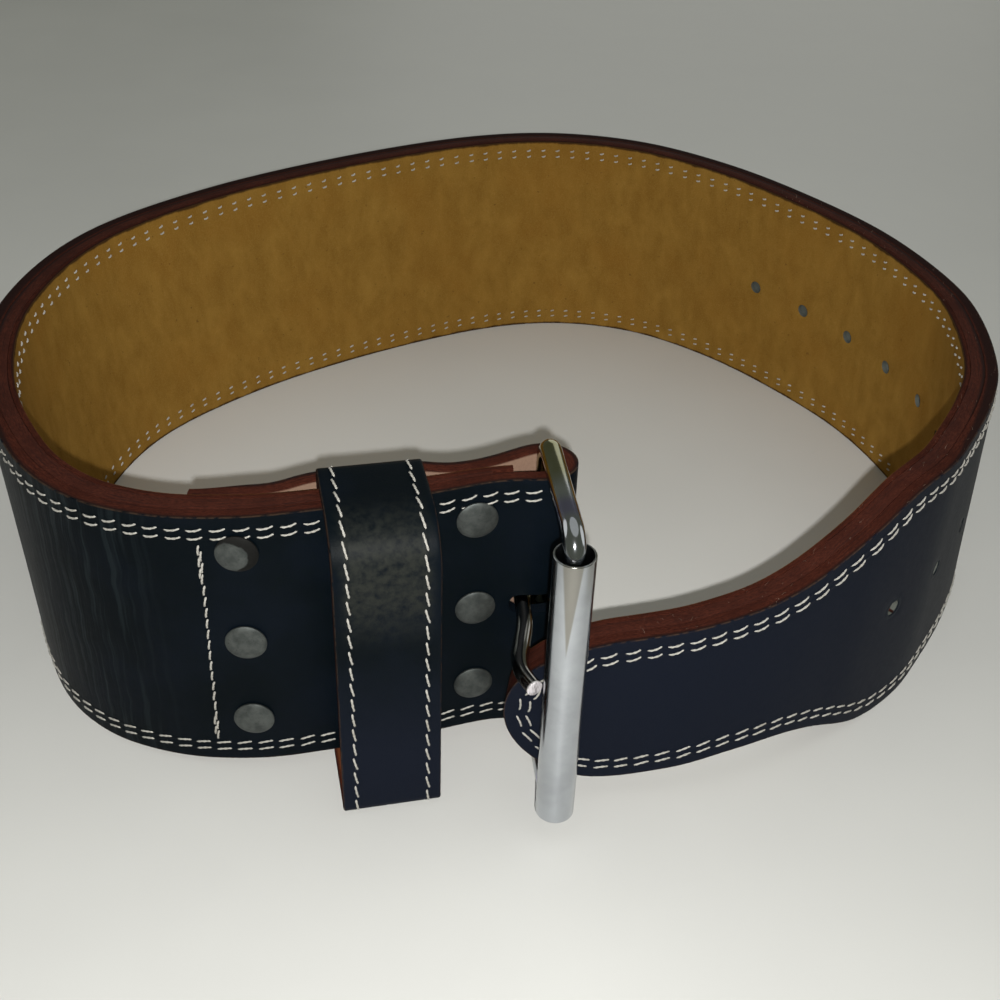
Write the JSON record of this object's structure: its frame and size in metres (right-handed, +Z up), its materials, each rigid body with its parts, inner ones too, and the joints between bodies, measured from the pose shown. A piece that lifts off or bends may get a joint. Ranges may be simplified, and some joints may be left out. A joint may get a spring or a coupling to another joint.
{
  "type": "weightlifting belt",
  "caption": "Wide layered leather lifting belt with a roller prong buckle, a keeper loop, rivets and a row of punched holes, buckled and standing on its edge.",
  "frame": {"origin": "middle of the bounding box, on the surface that the belt's lower edge stands on", "axes": "+Z up across the belt's width, +X to the right along the longest side of the loop, buckle at the front (-Y)"},
  "size_m": [0.3752, 0.353, 0.119],
  "materials": {
    "grain_leather": "navy black full grain leather, semi matt",
    "dyed_core": "brown dyed cut edge of thick leather",
    "suede_leather": "tan suede",
    "chrome": "bright plated, finely scratched",
    "pewter": "dull antique nickel plating"
  },
  "bodies": {
    "belt": {"outer_leather": "grain_leather", "core_leather": "dyed_core", "suede_lining": "suede_leather", "keeper_loop": "grain_leather", "rivet_left_1": "pewter", "rivet_left_2": "pewter", "rivet_left_3": "pewter", "rivet_right_1": "pewter", "rivet_right_2": "pewter", "rivet_right_3": "pewter"},
    "buckle": {"buckle_frame": "chrome"},
    "roller": {"roller": "chrome"},
    "prong": {"prong": "chrome"}
  },
  "joints": [
    {"name": "buckle_swing", "type": "hinge", "parent": "belt", "child": "buckle", "pos_m": [0.0135, -0.12239, 0.0595], "axis": [0, 0, -1], "range_deg": [0, 13]},
    {"name": "roller_spin", "type": "hinge", "parent": "buckle", "child": "roller", "pos_m": [0.02067, -0.17035, 0.0595], "axis": [0, 0, 1], "continuous": true},
    {"name": "prong_swing", "type": "hinge", "parent": "buckle", "child": "prong", "pos_m": [0.0135, -0.12239, 0.0595], "axis": [0, 0, 1], "range_deg": [-12, 0]}
  ]
}
